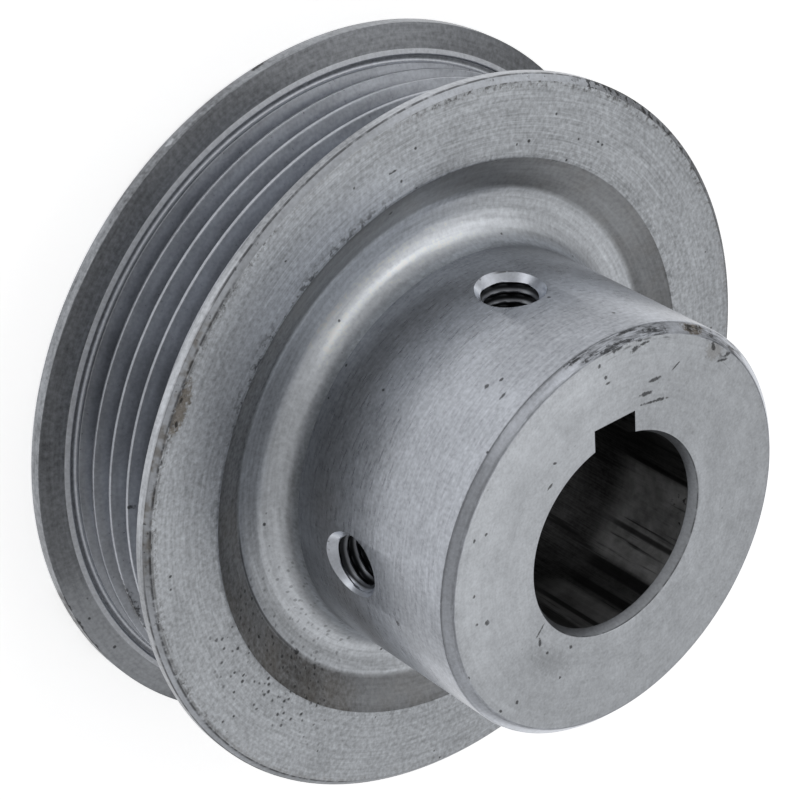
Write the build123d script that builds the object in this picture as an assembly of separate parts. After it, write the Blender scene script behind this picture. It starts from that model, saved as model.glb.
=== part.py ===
from build123d import *
import os
from math import radians, tan

os.makedirs("parts", exist_ok=True)

# Belt pulley turned from one bar. Sizes are in millimetres and degrees.
# The rear face lies at height 0, the pulley's axis is Z and the hub points up.

# Grooves for a PK section belt. The crest diameter runs over the ribs.
CREST_DIAMETER = 86.2
GROOVE_COUNT = 5
GROOVE_PITCH = 3.56
GROOVE_ANGLE = 40
GROOVE_ROOT_WIDTH = 0.6
CREST_WIDTH = 0.5

# Flanges that keep the belt on. Their inner side stands square to the axis
# beside the ribs, then leans outwards up to the rim's edge.
SIDE_LAND = 0.6
SIDE_WALL_HEIGHT = 1.5
FLARE_HEIGHT = 3.025
FLARE_ANGLE = 17.5
REAR_EDGE_WIDTH = 1.95
FRONT_EDGE_WIDTH = 1.85
REAR_EDGE_CHAMFER = 0.4
FRONT_EDGE_CHAMFER_WIDTH = 0.6
FRONT_EDGE_CHAMFER_DEPTH = 0.75

# Hub, with the turned recess around its foot
HUB_DIAMETER = 53
HUB_HEIGHT = 28.6
HUB_END_CHAMFER = 1.1
HUB_FOOT_RADIUS = 3.7
WEB_WIDTH = 2.3
RECESS_DEPTH = 2.3
RECESS_SLOPE_WIDTH = 4.9

# Bore for a 1 inch shaft and its 1/4 inch key
BORE_DIAMETER = 25.4
BORE_CHAMFER_WIDTH = 0.6
BORE_CHAMFER_DEPTH = 1.3
KEYWAY_WIDTH = 6.35
KEYWAY_DEPTH = 3.1

# Two holes for 5/16-18 set screws, drilled at the thread's inner diameter.
# The first opens into the keyway. Their height runs from the front face.
SCREW_DRILL_DIAMETER = 6.54
SCREW_MOUTH_DIAMETER = 9
SCREW_MOUTH_ANGLE = 90
SCREW_HEIGHT = 11.2
SCREW_AZIMUTHS = (0, 90)

# Levels and radii that follow from the sizes above
CREST_R = CREST_DIAMETER / 2
RIM_R = CREST_R + SIDE_WALL_HEIGHT + FLARE_HEIGHT
FLARE_RISE = FLARE_HEIGHT * tan(radians(FLARE_ANGLE))
REAR_WALL_Z = REAR_EDGE_WIDTH + FLARE_RISE
GROOVES_START_Z = REAR_WALL_Z + SIDE_LAND
GROOVES_END_Z = GROOVES_START_Z + GROOVE_COUNT * GROOVE_PITCH - CREST_WIDTH
FRONT_WALL_Z = GROOVES_END_Z + SIDE_LAND
FRONT_EDGE_Z = FRONT_WALL_Z + FLARE_RISE
FRONT_Z = FRONT_EDGE_Z + FRONT_EDGE_WIDTH
WEB_Z = FRONT_Z - RECESS_DEPTH
TOP_Z = FRONT_Z + HUB_HEIGHT
BORE_R = BORE_DIAMETER / 2
HUB_R = HUB_DIAMETER / 2
RECESS_FOOT_R = HUB_R + HUB_FOOT_RADIUS + WEB_WIDTH
RECESS_EDGE_R = RECESS_FOOT_R + RECESS_SLOPE_WIDTH


def groove_section(first_z):
    """One V groove with a flat root, as radius and height, up from its lower lip."""
    mouth_width = GROOVE_PITCH - CREST_WIDTH
    flank_width = (mouth_width - GROOVE_ROOT_WIDTH) / 2
    root_r = CREST_R - flank_width / tan(radians(GROOVE_ANGLE / 2))
    outline = Polyline(
        (CREST_R, first_z),
        (root_r, first_z + flank_width),
        (root_r, first_z + mouth_width - flank_width),
        (CREST_R, first_z + mouth_width),
        close=True,
    )
    return make_face(outline)


def rim_and_hub_section():
    """The section from the axis out, with a plain land where the grooves go."""
    outline = Polyline(
        (0, 0),
        (RIM_R - REAR_EDGE_CHAMFER, 0),
        (RIM_R, REAR_EDGE_CHAMFER),
        (RIM_R, REAR_EDGE_WIDTH),
        (CREST_R + SIDE_WALL_HEIGHT, REAR_WALL_Z),
        (CREST_R, REAR_WALL_Z),
        (CREST_R, FRONT_WALL_Z),
        (CREST_R + SIDE_WALL_HEIGHT, FRONT_WALL_Z),
        (RIM_R, FRONT_EDGE_Z),
        (RIM_R, FRONT_Z - FRONT_EDGE_CHAMFER_WIDTH),
        (RIM_R - FRONT_EDGE_CHAMFER_DEPTH, FRONT_Z),
        (RECESS_EDGE_R, FRONT_Z),
        (RECESS_FOOT_R, WEB_Z),
        (HUB_R, WEB_Z),
        (HUB_R, TOP_Z - HUB_END_CHAMFER),
        (HUB_R - HUB_END_CHAMFER, TOP_Z),
        (0, TOP_Z),
        close=True,
    )
    return make_face(outline)


def turned_section():
    """The whole turned section, with its grooves and the hub's rounded foot."""
    section = rim_and_hub_section()
    for number in range(GROOVE_COUNT):
        section -= groove_section(GROOVES_START_Z + number * GROOVE_PITCH)
    foot = section.vertices().sort_by_distance((HUB_R, WEB_Z, 0))[0]
    return fillet(foot, HUB_FOOT_RADIUS)


def bore_cut():
    """The through bore with a slim chamfer at each end."""
    outline = Polyline(
        (0, 0),
        (BORE_R + BORE_CHAMFER_WIDTH, 0),
        (BORE_R, BORE_CHAMFER_DEPTH),
        (BORE_R, TOP_Z - BORE_CHAMFER_DEPTH),
        (BORE_R + BORE_CHAMFER_WIDTH, TOP_Z),
        (0, TOP_Z),
        close=True,
    )
    return revolve(Plane.XZ * make_face(outline), Axis.Z)


def keyway_cut():
    """The square keyway along the whole bore, on the +X side."""
    reach = BORE_R + KEYWAY_DEPTH
    return Box(reach, KEYWAY_WIDTH, TOP_Z, align=(Align.MIN, Align.CENTER, Align.MIN))


def screw_hole_cut(azimuth):
    """One drilled hole from the hub's side into the bore, with its mouth."""
    drill_r = SCREW_DRILL_DIAMETER / 2
    mouth_r = SCREW_MOUTH_DIAMETER / 2
    mouth_depth = (mouth_r - drill_r) / tan(radians(SCREW_MOUTH_ANGLE / 2))
    outline = Polyline(
        (0, 0),
        (drill_r, 0),
        (drill_r, HUB_R - mouth_depth),
        (mouth_r, HUB_R),
        (mouth_r, HUB_R + mouth_depth),
        (0, HUB_R + mouth_depth),
        close=True,
    )
    upright = revolve(Plane.XZ * make_face(outline), Axis.Z)
    lying = Pos(0, 0, FRONT_Z + SCREW_HEIGHT) * Rot(0, 90, 0) * upright
    return Rot(0, 0, azimuth) * lying


def pulley():
    """The finished pulley."""
    body = revolve(Plane.XZ * turned_section(), Axis.Z)
    body -= bore_cut()
    body -= keyway_cut()
    for azimuth in SCREW_AZIMUTHS:
        body -= screw_hole_cut(azimuth)
    return body


export_step(pulley(), "parts/pulley.step")
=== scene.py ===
from math import acos, cos, pi, radians, sin, tan

import bpy
from mathutils import Matrix, Vector


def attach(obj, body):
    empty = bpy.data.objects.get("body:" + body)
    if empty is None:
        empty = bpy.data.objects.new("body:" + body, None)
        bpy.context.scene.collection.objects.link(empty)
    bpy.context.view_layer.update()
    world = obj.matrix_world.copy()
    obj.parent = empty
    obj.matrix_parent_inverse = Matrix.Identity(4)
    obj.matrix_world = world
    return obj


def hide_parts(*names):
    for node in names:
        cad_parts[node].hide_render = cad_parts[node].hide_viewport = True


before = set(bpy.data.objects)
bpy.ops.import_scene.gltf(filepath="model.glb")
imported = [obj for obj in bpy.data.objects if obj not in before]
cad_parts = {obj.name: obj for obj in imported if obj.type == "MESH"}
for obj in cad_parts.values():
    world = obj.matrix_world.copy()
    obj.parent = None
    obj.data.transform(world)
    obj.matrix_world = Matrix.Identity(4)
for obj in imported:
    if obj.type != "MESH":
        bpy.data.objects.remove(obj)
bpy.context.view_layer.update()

# Rim
# Turned from steel bar: five V grooves for a ribbed belt between two flanges.
# The flanges stand square beside the ribs, then lean out to a broad edge. All
# of it is satin from the tool, with dirt and small nicks along the edges.
MM = 0.001
# Sizes are in millimetres and turns in degrees. The keyway is at azimuth 0.
RIM_R = 47.625
CREST_R = 43.1
GROOVES = 5
GROOVE_PITCH = 3.56
GROOVE_HALF_ANGLE = 20
CREST_WIDTH = 0.5
ROOT_WIDTH = 0.6
SIDE_LAND = 0.6
LAND_R = CREST_R - 0.2
WALL_TOP_R = CREST_R + 1.5
FLARE_ANGLE = 17.5
FLARE_RISE = (RIM_R - WALL_TOP_R) * tan(radians(FLARE_ANGLE))
REAR_EDGE_Z = 1.95
REAR_WALL_Z = REAR_EDGE_Z + FLARE_RISE
GROOVES_START_Z = REAR_WALL_Z + SIDE_LAND
FRONT_WALL_Z = GROOVES_START_Z + GROOVES * GROOVE_PITCH - CREST_WIDTH + SIDE_LAND
TRACK_MIDDLE_Z = (REAR_WALL_Z + FRONT_WALL_Z) / 2
FRONT_EDGE_Z = FRONT_WALL_Z + FLARE_RISE
FRONT_Z = FRONT_EDGE_Z + 1.85
FRONT_CHAMFER_R = RIM_R - 0.75
FRONT_CHAMFER_Z = FRONT_Z - 0.6
REAR_CHAMFER = 0.4
BROKEN_EDGE = 0.12
CREST_ROUND = 0.16
ROOT_ROUND = 0.25
WALL_FOOT_ROUND = 0.3
LIP_R = WALL_TOP_R - 0.7
LIP_HEIGHT = 0.42
LIP_ROUND = 0.12
LIP_BACK_R = LIP_R - 0.12
LIP_FOOT_ROUND = 0.6
FACED_STEEL = (0.6, 0.625, 0.66)
# A darker steel; on the flanges' inner sides its darkness is painted shade.
DARK_STEEL = (0.33, 0.343, 0.365)
TRACK_STEEL = (0.41, 0.43, 0.47)
# The lip's light colour is a painted reflection.
LIP_REFLECTION_STEEL = (0.64, 0.66, 0.7)
DIRT = (0.032, 0.032, 0.033)
RUST = (0.17, 0.13, 0.08)


def groove_corners():
    """Corners of the grooved track, from the rear land to the front one."""
    lean = tan(radians(GROOVE_HALF_ANGLE))
    mouth = GROOVE_PITCH - CREST_WIDTH
    flank = (mouth - ROOT_WIDTH) / 2
    root_r = CREST_R - flank / lean
    corners = []
    for number in range(GROOVES):
        start = GROOVES_START_Z + number * GROOVE_PITCH
        corners += [
            (CREST_R, start, CREST_ROUND, "track"),
            (root_r, start + flank, ROOT_ROUND, "track"),
            (root_r, start + mouth - flank, ROOT_ROUND, "track"),
            (CREST_R, start + mouth, CREST_ROUND, "track"),
        ]
    beside = (CREST_R - LAND_R) * lean
    corners[0] = (LAND_R, corners[0][1] + beside, CREST_ROUND, "track")
    corners[-1] = (LAND_R, corners[-1][1] - beside, CREST_ROUND, "track")
    return corners


# Each corner has its radius, its height, the radius it is rounded to and
# the name of the surface that leads on from it.
rim_corners = [
    (RIM_R - REAR_CHAMFER, 0, BROKEN_EDGE, "edge"),
    (RIM_R, REAR_CHAMFER, BROKEN_EDGE, "edge"),
    (RIM_R, REAR_EDGE_Z, BROKEN_EDGE, "flange side"),
    (WALL_TOP_R, REAR_WALL_Z, LIP_FOOT_ROUND, "lip"),
    (LIP_R, REAR_WALL_Z + LIP_HEIGHT, LIP_ROUND, "flange side"),
    (LIP_BACK_R, REAR_WALL_Z, LIP_ROUND, "lip"),
    (LAND_R, REAR_WALL_Z, WALL_FOOT_ROUND, "track"),
    *groove_corners(),
    (LAND_R, FRONT_WALL_Z, WALL_FOOT_ROUND, "lip"),
    (LIP_BACK_R, FRONT_WALL_Z, LIP_ROUND, "flange side"),
    (LIP_R, FRONT_WALL_Z - LIP_HEIGHT, LIP_ROUND, "lip"),
    (WALL_TOP_R, FRONT_WALL_Z, LIP_FOOT_ROUND, "flange side"),
    (RIM_R, FRONT_EDGE_Z, BROKEN_EDGE, "edge"),
    (RIM_R, FRONT_CHAMFER_Z, BROKEN_EDGE, "edge"),
    (FRONT_CHAMFER_R, FRONT_Z, BROKEN_EDGE, "face"),
]


class Field:
    """A number that varies over the metal, built up with plain arithmetic."""

    def __init__(self, tree, socket):
        self.tree = tree
        self.socket = socket

    def calculate(self, operation, *others):
        made = self.tree.nodes.new("ShaderNodeMath")
        made.operation = operation
        for slot, value in zip(made.inputs, (self, *others)):
            if isinstance(value, Field):
                self.tree.links.new(value.socket, slot)
            else:
                slot.default_value = value
        return Field(self.tree, made.outputs[0])

    def __add__(self, other):
        return self.calculate("ADD", other)

    def __sub__(self, other):
        return self.calculate("SUBTRACT", other)

    def __mul__(self, other):
        return self.calculate("MULTIPLY", other)

    def __truediv__(self, other):
        return self.calculate("DIVIDE", other)

    def __pow__(self, other):
        return self.calculate("POWER", other)

    def larger(self, *others):
        """The largest of this field and some others."""
        largest = self
        for other in others:
            largest = largest.calculate("MAXIMUM", other)
        return largest

    def smaller(self, other):
        return self.calculate("MINIMUM", other)

    def absolute(self):
        return self.calculate("ABSOLUTE")

    def opposite(self):
        """What is left of 1."""
        return self * -1 + 1

    def step(self, low, high):
        """0 below low and 1 above high, with an eased step between them."""
        made = self.tree.nodes.new("ShaderNodeMapRange")
        made.interpolation_type = "SMOOTHSTEP"
        self.tree.links.new(self.socket, made.inputs["Value"])
        made.inputs["From Min"].default_value = min(low, high)
        made.inputs["From Max"].default_value = max(low, high)
        eased = Field(self.tree, made.outputs["Result"])
        return eased if low < high else eased.opposite()


class Finish:
    """A finish of the steel, and where each point of the metal lies in mm."""

    def __init__(self, name):
        self.material = bpy.data.materials.new(name)
        self.material.use_nodes = True
        self.tree = self.material.node_tree
        self.shader = self.tree.nodes["Principled BSDF"]
        self.shader.inputs["Metallic"].default_value = 1
        place = self.tree.nodes.new("ShaderNodeTexCoord")
        axes = self.tree.nodes.new("ShaderNodeSeparateXYZ")
        self.tree.links.new(place.outputs["Object"], axes.inputs[0])
        self.x, self.y, self.z = (Field(self.tree, out) * (1 / MM) for out in axes.outputs)
        self.r = (self.x * self.x + self.y * self.y) ** 0.5
        self.ragged = self.clouds(0.45, seed=9)

    def vector(self, x, y, z):
        made = self.tree.nodes.new("ShaderNodeCombineXYZ")
        for slot, value in zip(made.inputs, (x, y, z)):
            if isinstance(value, Field):
                self.tree.links.new(value.socket, slot)
            else:
                slot.default_value = value
        return made.outputs[0]

    def noise(self, x, y, z, seed=0, detail=2):
        """Cloudy numbers round 0, one cloud to each step of 1 in x, y or z."""
        made = self.tree.nodes.new("ShaderNodeTexNoise")
        made.inputs["Scale"].default_value = 1
        made.inputs["Detail"].default_value = detail
        made.inputs["Roughness"].default_value = 0.6
        self.tree.links.new(self.vector(x, y, z + seed * 11.3), made.inputs["Vector"])
        return (Field(self.tree, made.outputs[0]) - 0.5) * 2

    def clouds(self, across, seed=0, detail=2):
        """Even noise with clouds of one size in mm."""
        part = 1 / across
        return self.noise(self.x * part, self.y * part, self.z * part, seed, detail)

    def turning(self, across, width, length, seed=0, detail=1):
        """Marks of the lathe tool: narrow across the feed, long round the axis."""
        part = 1 / length
        return self.noise(self.x * part, self.y * part, across * (1 / width), seed, detail)

    def pits(self, spacing, size, share, seed=0):
        """Dots up to a size in mm, in a share of the cells of one spacing."""
        cells = self.tree.nodes.new("ShaderNodeTexVoronoi")
        cells.inputs["Scale"].default_value = 1
        part = 1 / spacing
        place = self.vector(self.x * part, self.y * part, self.z * part + seed * 11.3)
        self.tree.links.new(place, cells.inputs["Vector"])
        away = Field(self.tree, cells.outputs["Distance"]) * spacing
        chance = self.tree.nodes.new("ShaderNodeSeparateColor")
        self.tree.links.new(cells.outputs["Color"], chance.inputs[0])
        chosen = Field(self.tree, chance.outputs[0]).step(1 - share, 1 - share * 0.4)
        return (away - chosen * size + self.ragged * (size * 0.5)).step(0, -size * 0.6)

    def towards(self, azimuth):
        """How far a point lies from the axis towards an azimuth."""
        return self.x * cos(radians(azimuth)) + self.y * sin(radians(azimuth))

    def between(self, first, last, fade):
        """1 between two azimuths, fading out beyond them."""
        half = abs(last - first) / 2
        along = self.towards((first + last) / 2) / self.r
        return along.step(cos(radians(half + fade)), cos(radians(half)))

    def spot(self, across, along, length, width, tilt):
        """A mark with a soft and ragged edge: 1 inside, 0 outside. Across and
        along are how far a point lies from its middle, tilt turns its length."""
        tilt = radians(tilt)
        turned_along = (along * cos(tilt) + across * sin(tilt)) * (2 / length)
        turned_across = (across * cos(tilt) - along * sin(tilt)) * (2 / width)
        away = turned_along * turned_along + turned_across * turned_across
        return (away + self.ragged * 1.6).step(1.3, 0.2)

    def flat_mark(self, radius, azimuth, length, width, tilt=0):
        """A mark on a flat face, whose length runs round the axis if not tilted."""
        outwards = self.towards(azimuth) - radius
        return self.spot(outwards, self.towards(azimuth + 90), length, width, tilt)

    def side_mark(self, height, azimuth, length, width, tilt=0):
        """A mark on a round side, whose length runs round the axis if not tilted."""
        facing = self.towards(azimuth).step(0, 1)
        return self.spot(self.z - height, self.towards(azimuth + 90), length, width, tilt) * facing

    def colour(self, plain, shade, *coats):
        """The plain colour times a shade, then each coat's colour where its
        field is 1."""
        made = self.tree.nodes.new("ShaderNodeVectorMath")
        made.operation = "SCALE"
        made.inputs[0].default_value = plain
        self.tree.links.new(shade.socket, made.inputs["Scale"])
        below = made.outputs[0]
        for tint, cover in coats:
            made = self.tree.nodes.new("ShaderNodeMix")
            made.data_type = "RGBA"
            first, second = [slot for slot in made.inputs if slot.type == "RGBA"]
            self.tree.links.new(below, first)
            second.default_value = (*tint, 1)
            self.tree.links.new(cover.socket, made.inputs[0])
            below = [slot for slot in made.outputs if slot.type == "RGBA"][0]
        self.tree.links.new(below, self.shader.inputs["Base Color"])

    def roughness(self, field):
        self.tree.links.new(field.socket, self.shader.inputs["Roughness"])

    def relief(self, height):
        """Raise and sink the surface by a height in mm."""
        bump = self.tree.nodes.new("ShaderNodeBump")
        bump.inputs["Distance"].default_value = MM
        self.tree.links.new(height.socket, bump.inputs["Height"])
        self.tree.links.new(bump.outputs[0], self.shader.inputs["Normal"])


# Nicks, pits and specks of dirt on the front face: radius, azimuth, length, width.
FACE_MARKS = (
    (39.3, -20, 0.5, 0.4), (41.2, 10.5, 1.3, 0.35), (46.0, 62.9, 0.8, 0.5), (42.5, 34, 0.4, 0.3),
    (40.4, -32, 0.4, 0.3), (41.0, -37, 0.5, 0.35), (46.4, 59.4, 0.9, 0.5), (46.8, 57.3, 0.8, 0.5),
    (46.7, 68.7, 0.7, 0.5), (46.8, 81.5, 1.4, 0.35))


def face_finish():
    """The flange's faced front: fine rings, grain, pits and a dirty edge."""
    finish = Finish("faced steel")
    rings = finish.turning(finish.r, width=0.34, length=7, seed=1)
    torn = finish.turning(finish.r, width=0.17, length=7, seed=6) * finish.between(-52, 34, fade=14)
    grain = finish.clouds(0.62, seed=3)
    smudges = finish.clouds(7, seed=4)
    pits = finish.pits(spacing=1.7, size=0.25, share=0.32, seed=5)
    marks = [finish.flat_mark(*mark) for mark in FACE_MARKS]

    seam = finish.r.step(46.35, 46.6) * finish.clouds(1.1, seed=27).step(-0.4, 0.15)
    outer_edge = finish.r.step(45.4, 46.9) * finish.clouds(0.5, seed=7, detail=3).step(-0.05, 0.4)
    outer_edge = outer_edge.larger(seam * finish.between(44, 150, fade=8) * 0.6)
    dirty = finish.between(36, 116, fade=10).larger(finish.between(-62, 0, fade=12))
    inner_edge = finish.r.step(39.2, 37.5) * finish.clouds(0.9, seed=56, detail=3).step(-0.05, 0.25)
    inner_edge = inner_edge * (finish.between(18, 56, fade=10) * 0.5 + 0.3)
    peppered = finish.between(108, 138, fade=9) * finish.r.step(45, 40)
    specks = peppered * finish.pits(spacing=0.85, size=0.33, share=0.85, seed=8)
    rust_spot = finish.flat_mark(46.2, 60.3, length=7.5, width=2.6)
    black_in_rust = rust_spot * finish.clouds(0.5, seed=29).step(0.1, 0.4) * 0.5
    dirt = pits.larger(*marks, outer_edge * dirty * 0.85, inner_edge, specks, black_in_rust)
    rust = rust_spot.larger(outer_edge * 0.4)

    # Painted light: the face near the hub is lighter between azimuth 12 and 50.
    wear_and_painted_light = finish.between(12, 50, fade=12) * finish.r.step(44, 39.5)
    shade = grain * 0.54 + rings * 0.24 + torn * 0.28 + smudges * 0.14 + wear_and_painted_light * 0.28 + 0.95
    finish.colour(FACED_STEEL, shade, (RUST, rust * 0.7), (DIRT, dirt * 0.85))
    finish.roughness(grain * 0.06 + 0.4)
    finish.relief(rings * 0.004 + grain * 0.006)
    return finish.material


def rear_face_finish():
    """The faced rear side, plain but for the tool's rings and the grain."""
    finish = Finish("faced steel, rear")
    rings = finish.turning(finish.r, width=0.34, length=7, seed=11)
    grain = finish.clouds(0.62, seed=12)
    pits = finish.pits(spacing=3, size=0.26, share=0.15, seed=13)
    finish.colour(FACED_STEEL, grain * 0.72 + rings * 0.38 + 1, (DIRT, pits * 0.8))
    finish.roughness(grain * 0.06 + 0.4)
    finish.relief(rings * 0.004 + grain * 0.006)
    return finish.material


def edge_finish():
    """The rim's broad edges and their chamfers, nicked and dirty in places."""
    finish = Finish("rim edge steel")
    feed = finish.turning(finish.z, width=0.3, length=5, seed=21)
    grain = finish.clouds(0.55, seed=22)
    pits = finish.pits(spacing=2.4, size=0.35, share=0.3, seed=23)
    front = finish.z.step(TRACK_MIDDLE_Z - 1, TRACK_MIDDLE_Z + 1)
    rear = front.opposite()
    chamfer = finish.z.step(FRONT_CHAMFER_Z - 0.06, FRONT_CHAMFER_Z + 0.02)

    corner = (finish.z - finish.r - (FRONT_CHAMFER_Z - RIM_R)).absolute().step(0.28, 0.1)
    corner = corner * finish.clouds(1.6, seed=25).step(-0.5, 0.1)
    corner = corner * (finish.between(50, 84, fade=8) * -0.5 + 0.75)
    seam = chamfer * finish.r.step(FRONT_CHAMFER_R + 0.26, FRONT_CHAMFER_R + 0.08)
    seam = seam * finish.clouds(1.1, seed=27).step(-0.4, 0.15) * finish.between(44, 150, fade=6)
    dirty = finish.between(36, 92, fade=8).larger(finish.between(-62, -12, fade=12))
    specks = chamfer * finish.clouds(0.9, seed=24, detail=3).step(0.2, 0.42) * (dirty * 0.65 + 0.05)
    flecks = chamfer * finish.between(-60, -32, fade=8) * finish.clouds(0.8, seed=31).step(0.02, 0.2)
    gouge = finish.side_mark(0.7, 10.3, length=3, width=0.55, tilt=4)
    nicks = rear * finish.between(105, 118, fade=3) * finish.clouds(1.2, seed=30).step(-0.35, 0.1)
    dirt = specks.larger(pits * 0.7, corner, seam * 0.75, flecks * 0.9, gouge, nicks * 0.8)
    rust = chamfer * finish.between(52, 82, fade=8) * finish.clouds(1.3, seed=28).step(-0.2, 0.4)

    # Painted light and shade by azimuth: the chamfer is lighter towards azimuth -22 to 124 and darker
    # towards 38 to 84 and 250 to 322, and the front edge has a painted highlight towards -54 to 6 and
    # 44 to 76.
    bright = finish.between(-22, 112, fade=10) * 0.35 + finish.between(98, 124, fade=8) * 0.2
    dark = finish.between(250, 322, fade=10) * 0.85 + finish.between(38, 84, fade=6) * 0.3
    painted_front_highlight = front * (finish.between(-54, 6, fade=8) + finish.between(44, 76, fade=8)) * 0.35
    worn = finish.noise(finish.x * 0.08, finish.y * 0.08, finish.z * 0.5, seed=26)
    bare_nick = finish.side_mark(1.1, 28.3, length=1.3, width=0.7)
    dulled = rear * finish.between(20, 36, fade=8)
    shade = grain * 0.5 + feed * 0.3 + worn * 0.3 + 0.88
    shade = shade + chamfer * (bright - dark + 0.5) + painted_front_highlight + bare_nick * 0.7 - dulled * 0.26
    finish.colour(DARK_STEEL, shade, (RUST, rust * 0.55), (DIRT, dirt))
    finish.roughness(grain * 0.06 + chamfer * 0.22 + 0.36)
    finish.relief(feed * 0.005 + grain * 0.006)
    return finish.material


# A pit and the nicks along the rear flange's edge: radius, azimuth, length, width.
FLANGE_MARKS = (
    (46, 118.6, 0.5, 0.45), (47.6, 106.7, 1.2, 0.4), (47.6, 110.6, 2.6, 0.5), (47.6, 116, 1.4, 0.4))


def flange_side_finish():
    """The flanges' inner sides: a fine-turned satin with a few pits, dark as painted shade between
    the flanges.
    """
    finish = Finish("flange side steel")
    rings = finish.turning(finish.r, width=0.3, length=6, seed=31)
    grain = finish.clouds(0.6, seed=32)
    pits = finish.pits(spacing=3.2, size=0.3, share=0.12, seed=33)
    dirt = pits.larger(*[finish.flat_mark(*mark) for mark in FLANGE_MARKS])
    bright = finish.between(110, 128, fade=12) * 0.4 - finish.between(40, 78, fade=10) * 0.1
    # Painted shade: the dark colour stands in for the shade between the flanges.
    finish.colour(DARK_STEEL, grain * 0.4 + rings * 0.2 + bright + 0.75, (DIRT, dirt * 0.8))
    finish.roughness(grain * 0.05 + 0.32)
    finish.relief(rings * 0.003 + grain * 0.004)
    return finish.material


def lip_finish():
    """The low lip beside the outer ribs, its light colour a painted reflection."""
    finish = Finish("lip steel")
    grain = finish.clouds(0.5, seed=35)
    # Painted shade in the corner at the wall's foot, and a painted highlight where the lip meets the
    # land.
    seam = (finish.r - (CREST_R + 0.36)).absolute().step(0.28, 0.1)
    foot = finish.r.step(CREST_R + 0.15, CREST_R)
    finish.colour(LIP_REFLECTION_STEEL, grain * 0.3 - seam * 0.45 + foot * 0.3 + 1)
    finish.roughness(grain * 0.06 + 0.5)
    finish.relief(grain * 0.006)
    return finish.material


def track_finish():
    """The ribs and grooves, cut with a form tool that leaves fine rings."""
    finish = Finish("rib steel")
    feed = finish.turning(finish.z, width=0.28, length=4, seed=41)
    grain = finish.clouds(0.5, seed=42, detail=1)
    patches = finish.noise(finish.x * 0.12, finish.y * 0.12, finish.z * 0.3, seed=43)
    # Painted light and shade: the crests a little lighter, the grooves darker with depth, the track
    # darker towards azimuth 36 to 84, and the land beside each wall much lighter.
    crest = finish.r.step(CREST_R - 0.2, CREST_R - 0.05)
    groove_depth_shade = finish.r.step(CREST_R - 0.1, CREST_R - 2)
    shaded = finish.between(36, 84, fade=10) * 0.08 + finish.between(62, 72, fade=9) * 0.14
    from_wall = (finish.z - TRACK_MIDDLE_Z).absolute() - (FRONT_WALL_Z - TRACK_MIDDLE_Z)
    land = from_wall.step(-0.6, -0.35) * finish.r.step(LAND_R - 0.3, LAND_R - 0.15)
    shade = grain * 0.24 + feed * 0.2 + patches * 0.15 + land * 0.8 + 0.92
    shade = shade * (crest * 0.05 + 1) * (groove_depth_shade * 0.25 + shaded).opposite()
    streak = finish.side_mark(10.35, 104.3, length=8.4, width=0.9)
    streak = streak * finish.clouds(0.9, seed=44).step(-0.5, -0.1)
    streak_end = finish.side_mark(10.3, 109.6, length=0.8, width=1)
    pit = finish.side_mark(14.3, 82.3, length=0.6, width=0.6)
    finish.colour(TRACK_STEEL, shade, (DIRT, streak.larger(streak_end, pit) * 0.85))
    finish.roughness(grain * 0.05 + 0.3)
    finish.relief(feed * 0.003 + grain * 0.003)
    return finish.material


# Recess and hub
# The same bar's front: a recess turned round the hub with a sloped side, and
# the hub with a large radius at its foot. Its end is faced and chamfered.
WEB_Z = FRONT_Z - 2.3
TOP_Z = FRONT_Z + 28.6
HUB_R = 26.5
HUB_FOOT_ROUND = 3.7
RECESS_FOOT_R = 32.5
RECESS_EDGE_R = 37.4
RECESS_FOOT_ROUND = 3.6
RECESS_EDGE_ROUND = 1.1
HUB_CHAMFER = 1.1
HUB_EDGE_ROUND = 0.35
HUB_STEEL = (0.425, 0.445, 0.485)

hub_corners = [
    (RECESS_EDGE_R, FRONT_Z, RECESS_EDGE_ROUND, "recess"),
    (RECESS_FOOT_R, WEB_Z, RECESS_FOOT_ROUND, "recess"),
    (HUB_R, WEB_Z, HUB_FOOT_ROUND, "hub"),
    (HUB_R, TOP_Z - HUB_CHAMFER, HUB_EDGE_ROUND, "hub chamfer"),
    (HUB_R - HUB_CHAMFER, TOP_Z, HUB_EDGE_ROUND, "hub end"),
]

# Large pits in the recess: radius, azimuth, length, width.
RECESS_MARKS = (
    (32.8, 126.8, 1.1, 0.75), (35.0, 113.3, 0.7, 0.4), (35.7, 12.3, 0.6, 0.4), (29.0, 88.8, 0.5, 0.4),
    (28.7, 85.8, 0.4, 0.35))


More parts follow.
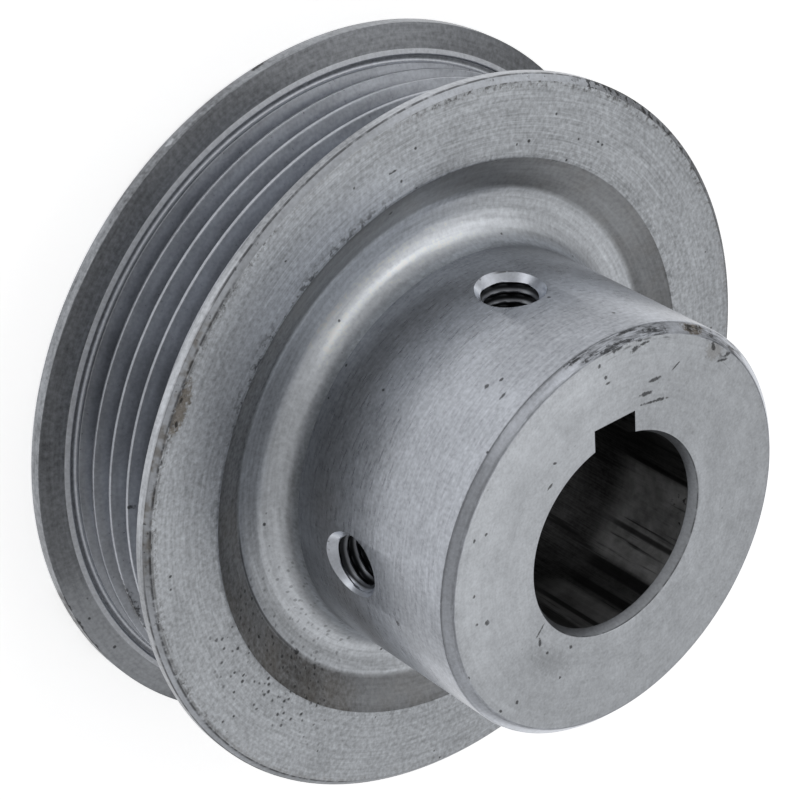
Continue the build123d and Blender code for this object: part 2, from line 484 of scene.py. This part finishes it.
def recess_finish():
    """The recess: a dull sloped side with brown specks, and a brighter web."""
    finish = Finish("recess steel")
    rings = finish.turning(finish.r, width=0.3, length=5, seed=51)
    bands = finish.turning(finish.r, width=1.2, length=25, seed=55)
    grain = finish.clouds(0.6, seed=52)
    patches = finish.clouds(4, seed=53)
    pits = finish.pits(spacing=2.6, size=0.26, share=0.2, seed=54)
    marks = [finish.flat_mark(*mark) for mark in RECESS_MARKS]
    slope = finish.r.step(32.4, 33.3) * finish.r.step(37.5, 37.1)
    web = finish.r.step(33, 32)

    groove = (finish.r - 32.75).absolute().step(0.22, 0.08) * finish.between(92, 122, fade=8)
    flecks = finish.r.step(36.7, 37.3) * finish.clouds(0.9, seed=56, detail=3).step(0.1, 0.35)
    peppered = finish.between(104, 138, fade=9) * (slope * 0.35 + 0.5)
    specks = peppered * finish.pits(spacing=0.85, size=0.33, share=0.85, seed=58)
    smudge = finish.flat_mark(35.4, 132, length=9, width=4.2)
    dirt = pits.larger(*marks, groove * 0.7, flecks * 0.6, specks, smudge * 0.3)
    rust = slope * (finish.between(84, 136, fade=14) * 0.14 + patches.step(-0.2, 0.4) * 0.12 + 0.08)

    rough = slope * finish.between(50, 140, fade=14)
    tarnished = finish.between(82, 154, fade=10) * web * finish.r.step(30, 31)
    clear = finish.between(0, 48, fade=12) * web
    # Painted light and shade: the fillet at the hub's foot is lighter, more so towards azimuth -20 to
    # 36, and darker towards its top, where it meets the hub's painted shade; the slope is lighter
    # towards azimuth -56 to 4 and darker towards 122 to 144.
    lit_foot = finish.between(-20, 36, fade=12) * finish.r.step(31.5, 30)
    lit_slope = slope * (finish.between(-56, 4, fade=12) - finish.between(122, 144, fade=8))
    foot = finish.r.step(30.4, 29.2) * 0.15 - finish.z.step(23.4, 25.8) * 0.75
    shade = grain * (rough * 0.5 + 0.38) + rings * 0.22 + bands * 0.3 + patches * 0.1 + 1.08
    shade = shade + foot + clear * 0.14 + lit_foot * 0.12 - tarnished * 0.2 + lit_slope * 0.16
    finish.colour(FACED_STEEL, shade * (slope * -0.5 + 1), (RUST, rust), (DIRT, dirt * 0.85))
    finish.roughness(grain * 0.05 + 0.36)
    finish.relief(rings * 0.003 + grain * 0.003)
    return finish.material


# Nicks in the hub's side: height over the front face, azimuth, length, width.
HUB_MARKS = (
    (24.4, 29.3, 1.3, 0.35), (21.6, 29.5, 0.8, 0.6), (23.5, -10.7, 0.5, 0.4), (19, 99.8, 0.9, 0.7),
    (16, -3.7, 0.6, 0.4), (22.6, 26, 0.7, 0.4))


def hub_finish():
    """The hub's side: short bright and dark turning marks all round."""
    finish = Finish("turned hub steel")
    turned = finish.turning(finish.z, width=0.3, length=2.3, seed=61, detail=2)
    grain = finish.clouds(0.5, seed=63, detail=1)
    patches = finish.noise(finish.x * 0.1, finish.y * 0.1, finish.z * 0.06, seed=64)
    pits = finish.pits(spacing=2.8, size=0.26, share=0.22, seed=65)
    marks = [finish.side_mark(FRONT_Z + height, *mark) for height, *mark in HUB_MARKS]
    # Painted shade: the hub is darker near its foot and along its upper part, more so in a few
    # azimuths.
    foot = finish.z.step(FRONT_Z + 8, FRONT_Z + 1.5)
    end = finish.z.step(FRONT_Z + 15, FRONT_Z + 22)
    dark_foot = finish.between(300, 344, fade=12).larger(finish.between(98, 130, fade=8))
    dark_end = finish.between(90, 102, fade=8).larger(finish.between(-10, 18, fade=10) * 0.7)
    darker = foot * (dark_foot * 0.2 + 0.34) + end * (dark_end * 0.16 + 0.13)
    shade = (turned * 0.35 + grain * 0.3 + patches * 0.22 + 1) * darker.opposite()
    finish.colour(HUB_STEEL, shade, (DIRT, pits.larger(*marks) * 0.8))
    finish.roughness(turned * 0.06 + 0.29)
    finish.relief(turned * 0.005 + grain * 0.002)
    return finish.material


# Black scuffs on the hub's chamfer: radius, azimuth, length, width.
CHAMFER_SCUFFS = (
    (25.5, 0.1, 4, 0.8), (25.7, -15.2, 5, 0.9), (26.2, 10, 5, 0.5), (25.5, -4.5, 3, 0.6),
    (25.7, 7, 3, 0.5), (25.9, -38, 1.2, 0.7), (25.8, -48, 2, 0.6), (26.3, -6, 7, 0.4),
    (26.0, -29, 1.6, 0.8), (26.1, -32.5, 1.4, 0.7))


def hub_chamfer_finish():
    """The hub end's chamfer, scuffed black near the keyway."""
    finish = Finish("hub chamfer steel")
    grain = finish.clouds(0.5, seed=71)
    streaks = finish.noise(finish.x * 0.5, finish.y * 0.5, (finish.r - finish.z) * 3, seed=72)
    torn = streaks.step(-0.4, 0.15)
    inner_edge = (finish.r - (HUB_R - HUB_CHAMFER)).step(0.4, 0.1)
    outer_edge = (finish.r - HUB_R).absolute().step(0.3, 0.08)
    lines = (inner_edge * 0.28).larger(outer_edge * 0.4) * streaks.step(-0.4, 0.2)
    scuffed = finish.between(-18, 8, fade=5).larger(finish.between(-52, -36, fade=4))
    soiled = streaks.step(-0.3, 0.4) * (scuffed * 0.55 + 0.06) + scuffed * 0.12
    scuffs = [finish.flat_mark(*scuff) * torn * 0.9 for scuff in CHAMFER_SCUFFS]
    tarnish = finish.flat_mark(26.0, -30.3, length=4, width=1.3) * (torn * 0.5 + 0.35)
    dirt = soiled.larger(lines, *scuffs)
    finish.colour(HUB_STEEL, grain * 0.4 + 1.35, (RUST, tarnish), (DIRT, dirt))
    finish.roughness(grain * 0.05 + 0.32)
    finish.relief(grain * 0.004 + streaks * 0.006)
    return finish.material


# Pits, a scratch beside the bore and the scuffs near the keyway, on the hub's
# end: radius, azimuth, length, width, tilt.
HUB_END_PITS = (
    (20.7, 96.3, 0.8, 0.7, 20), (23.0, 133.3, 0.6, 0.5, 0), (22.4, 84.3, 0.5, 0.4, 0),
    (22.2, 64.3, 0.5, 0.4, 0), (15.4, 41.5, 1.1, 0.36, 10), (17.1, 33.3, 0.8, 0.35, 60),
    (14.6, 146.3, 0.6, 0.5, 0), (22.2, 94.5, 0.45, 0.4, 0), (23.8, 66.1, 0.6, 0.4, 0),
    (24.9, 129, 0.6, 0.4, 0), (18.6, 147.7, 0.45, 0.4, 0), (25.3, 109.6, 0.5, 0.4, 0),
    (21.3, 2.4, 0.7, 0.4, 0), (24.1, 5.1, 0.6, 0.5, 13), (22.2, 3.2, 0.8, 0.5, -1))
SCRATCH = ((14.7, 120.5, 2.2, 0.3, 75), (15.7, 125.3, 1.3, 0.5, 35), (16.2, 133.5, 0.55, 0.45, 0))
HUB_END_SCUFFS = (
    (25.3, -9.5, 1.4, 0.8, -6), (24.2, -8.1, 1.6, 0.8, -17), (25.2, -1.4, 2.2, 0.8, -6),
    (24.6, -11.5, 1.6, 0.4, -8), (19.7, -19.1, 1.9, 0.55, -15), (18.0, -16.0, 2.2, 0.6, -8),
    (16.9, -21.3, 5.0, 0.36, -10), (17.2, -25, 1.5, 0.5, -11), (21.4, -27.3, 1.6, 0.25, -54),
    (24.8, -39.8, 1.6, 0.6, 33), (24.9, -47, 1.3, 0.7, -52), (23.9, -46.1, 1.8, 0.4, -36))


def hub_end_finish():
    """The hub's faced end: smooth and cloudy, with scuffs, pits and a scratch."""
    finish = Finish("hub end steel")
    rings = finish.turning(finish.r, width=0.4, length=9, seed=81)
    clouds = finish.clouds(3.2, seed=83, detail=3)
    grain = finish.clouds(0.8, seed=82) + finish.clouds(0.34, seed=86, detail=1) * 0.9
    pits = finish.pits(spacing=3.6, size=0.24, share=0.14, seed=84)
    pores = finish.pits(spacing=1.4, size=0.2, share=0.3, seed=87) * 0.3
    marks = [finish.flat_mark(*mark) * 0.9 for mark in HUB_END_PITS + SCRATCH + HUB_END_SCUFFS]
    by_keyway = finish.r.step(23.2, 25.2) * finish.between(-20, 0, fade=5)
    beside_it = finish.r.step(22.8, 24.6) * finish.between(-50, -38, fade=4)
    torn = finish.turning(finish.r, width=0.45, length=2.2, seed=85).step(0.12, 0.45)
    stain = finish.flat_mark(16.9, 138, length=8.5, width=3.4, tilt=10) * 0.17
    tarnish = finish.flat_mark(24.4, -41, length=3.2, width=2.4) * 0.3
    dirt = pits.larger(pores, *marks, torn * by_keyway.larger(beside_it) * 0.6, stain)
    # Painted light: the end is lighter towards azimuth 20 to 95.
    wear_and_painted_light = finish.between(20, 95, fade=35) * finish.r.step(27, 22)
    shade = clouds * 0.2 + grain * 0.2 + rings * 0.1 + wear_and_painted_light * 0.22 + 1
    finish.colour(FACED_STEEL, shade, (RUST, tarnish), (DIRT, dirt * 0.9))
    finish.roughness(clouds * 0.04 + 0.32)
    finish.relief(rings * 0.002)
    return finish.material


# Bore
# Bored through for a 1 inch shaft, with a slim chamfer at each end. Its wall
# is dark from oil and handling, with streaks along its length.
BORE_R = 12.7
BORE_MOUTH_R = BORE_R + 0.6
BORE_MOUTH_DEPTH = 1.3
OILY_STEEL = (0.22, 0.22, 0.222)

bore_corners = [
    (BORE_MOUTH_R, TOP_Z, BROKEN_EDGE, "bore mouth"),
    (BORE_R, TOP_Z - BORE_MOUTH_DEPTH, BROKEN_EDGE, "bore"),
    (BORE_R, BORE_MOUTH_DEPTH, BROKEN_EDGE, "bore mouth"),
    (BORE_MOUTH_R, 0, BROKEN_EDGE, "rear face"),
]


def bore_mouth_finish():
    """The bore's end chamfers, with a dark line where they meet the face."""
    finish = Finish("bore mouth steel")
    grain = finish.clouds(0.4, seed=91)
    line = (finish.r - BORE_MOUTH_R).absolute().step(0.14, 0.03)
    broken = finish.clouds(1.5, seed=92).step(-0.3, 0.2)
    finish.colour(DARK_STEEL, grain * 0.5 + 1.65, (DIRT, line * broken * 0.8))
    finish.roughness(grain * 0.05 + 0.36)
    finish.relief(grain * 0.004)
    return finish.material


# Black lines along the bore: azimuth, and how far each reaches to both sides.
BORE_LINES = ((230.5, 0.5), (272, 0.8), (205.5, 2.6), (191, 2), (168, 1.2))


def bore_finish(name="bore steel", seed=101):
    """The bore's wall: nearly black with oil, worn grey in places, with black streaks along its
    length."""
    finish = Finish(name)
    wear_and_painted_light = finish.noise(finish.x * 0.11, finish.y * 0.11, finish.z * 0.07, seed=seed, detail=3)
    streaks = finish.noise(finish.x * 0.9, finish.y * 0.9, finish.z * 0.05, seed=seed + 1, detail=4)
    grain = finish.clouds(0.5, seed=seed + 2)
    scratches = finish.noise(finish.x * 5, finish.y * 5, finish.z * 0.2, seed=seed + 3, detail=1)
    mottled = finish.clouds(1.6, seed=seed + 5, detail=3)
    mouth = finish.z.step(TOP_Z - 14.5, TOP_Z - 9.5)
    worn = finish.between(214, 266, fade=7).larger(finish.between(158, 182, fade=5) * 0.55) * mouth
    top = finish.z.step(TOP_Z - 5, TOP_Z - 2) * finish.between(236, 264, fade=4)
    flecks = top * finish.clouds(0.8, seed=seed + 4).step(0.2, 0.4)
    lines = [finish.between(middle - half, middle + half, fade=1.6) * mouth
             for middle, half in BORE_LINES]
    dirt = streaks.step(0.12, 0.35).larger(flecks, *lines)
    shade = worn * (wear_and_painted_light * 1.2 + mottled * 1.4 + 1.9) + wear_and_painted_light.step(-0.2, 0.4) * 0.6
    shade = shade + grain * 0.3 + scratches * 0.4 + 0.4
    finish.colour(OILY_STEEL, shade, (DIRT, dirt * 0.85))
    finish.roughness(grain * 0.06 + worn * 0.1 + 0.42)
    finish.relief(streaks * 0.01 + grain * 0.004)
    return finish.material


SURFACES = {
    "face": face_finish(),
    "rear face": rear_face_finish(),
    "edge": edge_finish(),
    "flange side": flange_side_finish(),
    "lip": lip_finish(),
    "track": track_finish(),
    "recess": recess_finish(),
    "hub": hub_finish(),
    "hub chamfer": hub_chamfer_finish(),
    "hub end": hub_end_finish(),
    "bore mouth": bore_mouth_finish(),
    "bore": bore_finish(),
}
SURFACE_NAMES = [*SURFACES, "keyway", "thread"]
TURN_STEPS = 400
ARC_STEP_TURN = 24
ARC_STEP_LENGTH = 0.4


def rounded_section(corners):
    """The section's points, with each corner turned into an arc, and the
    surface that starts at each point. An arc keeps the surface before it."""
    points, surfaces = [], []
    for index, (r, z, radius, surface) in enumerate(corners):
        corner = Vector((r, z))
        back = (Vector(corners[index - 1][:2]) - corner).normalized()
        ahead = (Vector(corners[(index + 1) % len(corners)][:2]) - corner).normalized()
        opening = acos(max(-1, min(1, back.dot(ahead))))
        reach = radius / tan(opening / 2)
        middle = corner + (back + ahead).normalized() * radius / sin(opening / 2)
        start = corner + back * reach - middle
        turn = pi - opening
        side = 1 if back.x * ahead.y - back.y * ahead.x < 0 else -1
        steps = max(2, round(turn / radians(ARC_STEP_TURN)), round(turn * radius / ARC_STEP_LENGTH))
        for step in range(steps + 1):
            spoke = Matrix.Rotation(side * turn * step / steps, 2) @ start
            points.append(middle + spoke)
            surfaces.append(surface if step == steps else corners[index - 1][3])
    return points, surfaces


def in_metres(points):
    """Points given in mm, as Blender takes them."""
    return [(x * MM, y * MM, z * MM) for x, y, z in points]


def turned_blank():
    """The section swept once round the axis, as a closed mesh."""
    points, surfaces = rounded_section([*rim_corners, *hub_corners, *bore_corners])
    verts = []
    for step in range(TURN_STEPS):
        angle = 2 * pi * step / TURN_STEPS
        verts += [(p.x * cos(angle), p.x * sin(angle), p.y) for p in points]
    faces, indices = [], []
    count = len(points)
    for step in range(TURN_STEPS):
        here, there = step * count, (step + 1) % TURN_STEPS * count
        for number in range(count):
            following = (number + 1) % count
            faces.append((here + number, there + number, there + following, here + following))
            indices.append(SURFACE_NAMES.index(surfaces[number]))
    mesh = bpy.data.meshes.new("pulley_body")
    mesh.from_pydata(in_metres(verts), [], faces)
    mesh.polygons.foreach_set("material_index", indices)
    for finish in SURFACES.values():
        mesh.materials.append(finish)
    return mesh


body = bpy.data.objects.new("pulley_body", turned_blank())
bpy.context.collection.objects.link(body)

# Keyway
# A square slot for a 1/4 inch key, broached along the whole bore on the
# side of the first screw hole. Its corners are left sharp.
KEYWAY_HALF_WIDTH = 3.175
KEYWAY_FLOOR = BORE_R + 3.1
CUT_BEYOND = 1


def keyway_broach():
    """The block that the broach takes away."""
    low, high = -CUT_BEYOND, TOP_Z + CUT_BEYOND
    corners = [(x, y, z) for z in (low, high) for x, y in (
        (0, -KEYWAY_HALF_WIDTH), (KEYWAY_FLOOR, -KEYWAY_HALF_WIDTH),
        (KEYWAY_FLOOR, KEYWAY_HALF_WIDTH), (0, KEYWAY_HALF_WIDTH))]
    faces = [(3, 2, 1, 0), (4, 5, 6, 7)] + [
        (side, (side + 1) % 4, (side + 1) % 4 + 4, side + 4) for side in range(4)]
    mesh = bpy.data.meshes.new("keyway_broach")
    mesh.from_pydata(in_metres(corners), [], faces)
    mesh.polygons.foreach_set("material_index", [SURFACE_NAMES.index("keyway")] * len(faces))
    return mesh


def cut_away(target, mesh):
    """Cut what the tool's mesh covers out of the target."""
    tool = bpy.data.objects.new("tool", mesh)
    bpy.context.collection.objects.link(tool)
    cut = target.modifiers.new("cut", "BOOLEAN")
    cut.operation = "DIFFERENCE"
    cut.solver = "EXACT"
    cut.object = tool
    cut.material_mode = "INDEX"
    bpy.context.view_layer.objects.active = target
    bpy.ops.object.modifier_apply(modifier=cut.name)
    bpy.data.objects.remove(tool)
    bpy.data.meshes.remove(mesh)


body.data.materials.append(bore_finish("broached steel", seed=111))
cut_away(body, keyway_broach())

# Two tapped set-screw holes
# Drilled through the hub's side into the bore, tapped 5/16-18 and opened
# with a 90 degree countersink. One stands over the keyway.
SCREW_AZIMUTHS = (0, 90)
SCREW_Z = FRONT_Z + 11.2
SCREW_INNER_R = 3.27
SCREW_OUTER_R = 3.97
SCREW_PITCH = 1.411
THREAD_FLAT = 0.12
SCREW_MOUTH_R = 4.5
SCREW_START = 10.5
SCREW_STEPS = 48
ROWS_PER_PITCH = 12
SMOOTH_UP_TO = 32


def thread_radius(reach, turn):
    """How far the tap and the countersink cut from the hole's axis."""
    phase = (reach / SCREW_PITCH - turn) % 1
    ridge = abs(2 * phase - 1)
    cut = min(1, max(0, (ridge - THREAD_FLAT) / (1 - 2 * THREAD_FLAT)))
    thread = SCREW_INNER_R + (SCREW_OUTER_R - SCREW_INNER_R) * cut
    return max(thread, SCREW_MOUTH_R - (HUB_R - reach))


def tap(azimuth):
    """What drill, tap and countersink take away at one azimuth."""
    end = HUB_R + CUT_BEYOND
    rows = round((end - SCREW_START) / SCREW_PITCH * ROWS_PER_PITCH)
    verts = []
    for row in range(rows + 1):
        reach = SCREW_START + (end - SCREW_START) * row / rows
        for step in range(SCREW_STEPS):
            turn = step / SCREW_STEPS
            radius = thread_radius(reach, turn)
            verts.append((reach, radius * cos(2 * pi * turn), radius * sin(2 * pi * turn)))
    faces = [tuple(reversed(range(SCREW_STEPS)))]
    for row in range(rows):
        for step in range(SCREW_STEPS):
            here, beside = row * SCREW_STEPS + step, row * SCREW_STEPS + (step + 1) % SCREW_STEPS
            faces.append((here, beside, beside + SCREW_STEPS, here + SCREW_STEPS))
    faces.append(tuple(range(rows * SCREW_STEPS, (rows + 1) * SCREW_STEPS)))
    mesh = bpy.data.meshes.new("tap")
    mesh.from_pydata(in_metres(verts), [], faces)
    lifted = Matrix.Translation((0, 0, SCREW_Z * MM))
    mesh.transform(Matrix.Rotation(radians(azimuth), 4, "Z") @ lifted)
    mesh.polygons.foreach_set("material_index", [SURFACE_NAMES.index("thread")] * len(faces))
    return mesh


def thread_finish():
    """Bright cut metal on the countersink, painted shade down in the thread, and thread crests with a
    painted highlight."""
    finish = Finish("tapped steel")
    grain = finish.clouds(0.4, seed=121)
    up = finish.z - SCREW_Z
    aside = finish.x.absolute().smaller(finish.y.absolute())
    from_axis = (up * up + aside * aside) ** 0.5
    # Painted shade down in the hole, with a painted highlight on the thread crests.
    crest = from_axis.step(SCREW_INNER_R + 0.4, SCREW_INNER_R + 0.1)
    thread = finish.r.step(HUB_R - 1, HUB_R - 1.25)
    shade = (grain * 0.3 + 1.7) * (thread * (crest * 0.27 - 0.95) + 1)
    mouth = (from_axis - (SCREW_MOUTH_R - 0.14)).absolute().step(0.16, 0.05)
    torn_side = finish.y.step(-0.5, -2) * finish.clouds(0.6, seed=123).step(-0.5, 0)
    burr = mouth * finish.clouds(1.2, seed=122).step(0.1, 0.4).larger(torn_side)
    finish.colour(HUB_STEEL, shade, (DIRT, burr * 0.75))
    finish.roughness(grain * 0.05 + 0.33)
    finish.relief(grain * 0.004)
    return finish.material


body.data.materials.append(thread_finish())
for azimuth in SCREW_AZIMUTHS:
    cut_away(body, tap(azimuth))
bpy.context.view_layer.objects.active = body
body.select_set(True)
bpy.ops.object.shade_smooth_by_angle(angle=radians(SMOOTH_UP_TO))

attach(body, "root")
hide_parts("pulley")

# Floor
# A sheet of white acrylic on a light table, which shines through it. It
# reaches far past the picture, so that no edge of it is seen.
FLOOR_HALF = 3000
floor_mesh = bpy.data.meshes.new("floor")
floor_corners = in_metres([
    (-FLOOR_HALF, -FLOOR_HALF, 0), (FLOOR_HALF, -FLOOR_HALF, 0),
    (FLOOR_HALF, FLOOR_HALF, 0), (-FLOOR_HALF, FLOOR_HALF, 0)])
floor_mesh.from_pydata(floor_corners, [], [(0, 1, 2, 3)])
floor = bpy.data.objects.new("floor", floor_mesh)
bpy.context.collection.objects.link(floor)
acrylic = bpy.data.materials.new("white acrylic")
acrylic.use_nodes = True
acrylic_shader = acrylic.node_tree.nodes["Principled BSDF"]
acrylic_shader.inputs["Base Color"].default_value = (0.92, 0.92, 0.92, 1)
acrylic_shader.inputs["Roughness"].default_value = 0.9
acrylic_shader.inputs["Emission Color"].default_value = (1, 1, 1, 1)
acrylic_shader.inputs["Emission Strength"].default_value = 0.66
floor_mesh.materials.append(acrylic)

# Light
# Round softboxes on stands all round the pulley, in a room with pale walls.
# Each is turned to the pulley, and the strongest one stands near azimuth 338.
SOFTBOX_AWAY = 1200
SOFTBOX_R = 275
LIT_HEIGHT = 25
ROOM_STRENGTH = 0.33
# Azimuth, height in degrees and strength of each softbox.
SOFTBOXES = (
    (338, 48, 0.78), (292, 48, 0.58), (248, 48, 0.31), (202, 48, 0.22), (22, 48, 0.48),
    (315, 28, 0.47), (285, 28, 0.3), (225, 28, 0.2), (195, 28, 0.27), (165, 28, 0.25),
    (135, 28, 0.13), (225, 66, 0.55), (0, 90, 0.1))


def direction(azimuth, height):
    """Where an azimuth and a height in degrees point to, from the pulley."""
    flat = cos(radians(height))
    return Vector((flat * cos(radians(azimuth)), flat * sin(radians(azimuth)), sin(radians(height))))


def softbox(azimuth, height, strength):
    """A softbox in one direction, turned to the pulley."""
    data = bpy.data.lights.new("softbox", "AREA")
    data.shape = "DISK"
    data.size = 2 * SOFTBOX_R * MM
    data.energy = (pi * SOFTBOX_R * MM) ** 2 * strength
    lamp = bpy.data.objects.new("softbox", data)
    bpy.context.collection.objects.link(lamp)
    out = direction(azimuth, height)
    lamp.location = (Vector((0, 0, LIT_HEIGHT)) + out * SOFTBOX_AWAY) * MM
    lamp.rotation_euler = out.to_track_quat("Z", "Y").to_euler()


for azimuth, height, strength in SOFTBOXES:
    softbox(azimuth, height, strength)
world = bpy.data.worlds.new("studio")
bpy.context.scene.world = world
world.use_nodes = True
world.node_tree.nodes["Background"].inputs["Color"].default_value = (1, 1, 1, 1)
world.node_tree.nodes["Background"].inputs["Strength"].default_value = ROOM_STRENGTH

# Camera
# A long lens from the front right, rolled as in the photo. It looks at a
# point near the pulley's axis, level with the ribs.
CAMERA_AZIMUTH = 44.881
CAMERA_HEIGHT = 42.68
CAMERA_AWAY = 365.1
CAMERA_ROLL = 120.056
CAMERA_AIM = (0.62, -0.62, 11.8)
CAMERA_LENS = 129.015

camera_data = bpy.data.cameras.new("camera")
camera_data.lens = CAMERA_LENS
camera_data.sensor_width = 36
camera_data.clip_start = 0.01
camera = bpy.data.objects.new("camera", camera_data)
bpy.context.collection.objects.link(camera)
backwards = direction(CAMERA_AZIMUTH, CAMERA_HEIGHT)
upright = backwards.to_track_quat("Z", "Y").to_matrix().to_4x4()
rolled = upright @ Matrix.Rotation(radians(CAMERA_ROLL), 4, "Z")
place = (Vector(CAMERA_AIM) + backwards * CAMERA_AWAY) * MM
camera.matrix_world = Matrix.Translation(place) @ rolled
bpy.context.scene.camera = camera
bpy.context.scene.view_settings.view_transform = "Standard"
